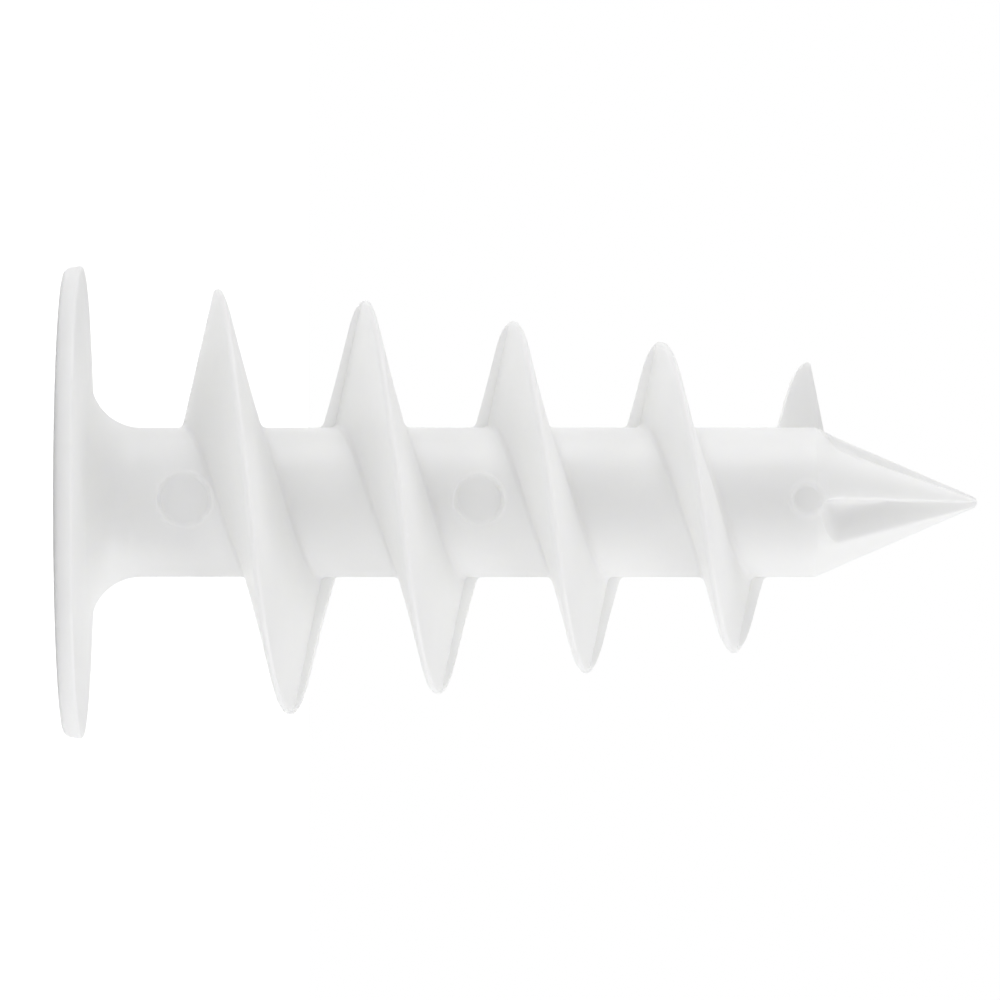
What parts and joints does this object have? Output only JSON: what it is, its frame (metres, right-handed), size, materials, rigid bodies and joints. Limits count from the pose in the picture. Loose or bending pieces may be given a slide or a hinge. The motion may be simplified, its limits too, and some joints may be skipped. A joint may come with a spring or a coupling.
{
  "type": "spiral insulation anchor",
  "caption": "Moulded plastic anchor with a flat round head, a slim shank, a coarse tapering spiral and a fluted conical point, driven into insulation board to hold a screw.",
  "frame": {"origin": "centre of the head's flat outer face", "axes": "+Z along the axis, from the head to the point; the mould's parting plane is XZ and the spiral starts at -X; +Y is one of the two directions in which the mould opens"},
  "size_m": [0.026, 0.026, 0.05],
  "materials": {
    "natural_nylon": "natural white, satin and slightly translucent, as moulded"
  },
  "bodies": {
    "root": {"anchor": "natural_nylon"}
  },
  "joints": []
}
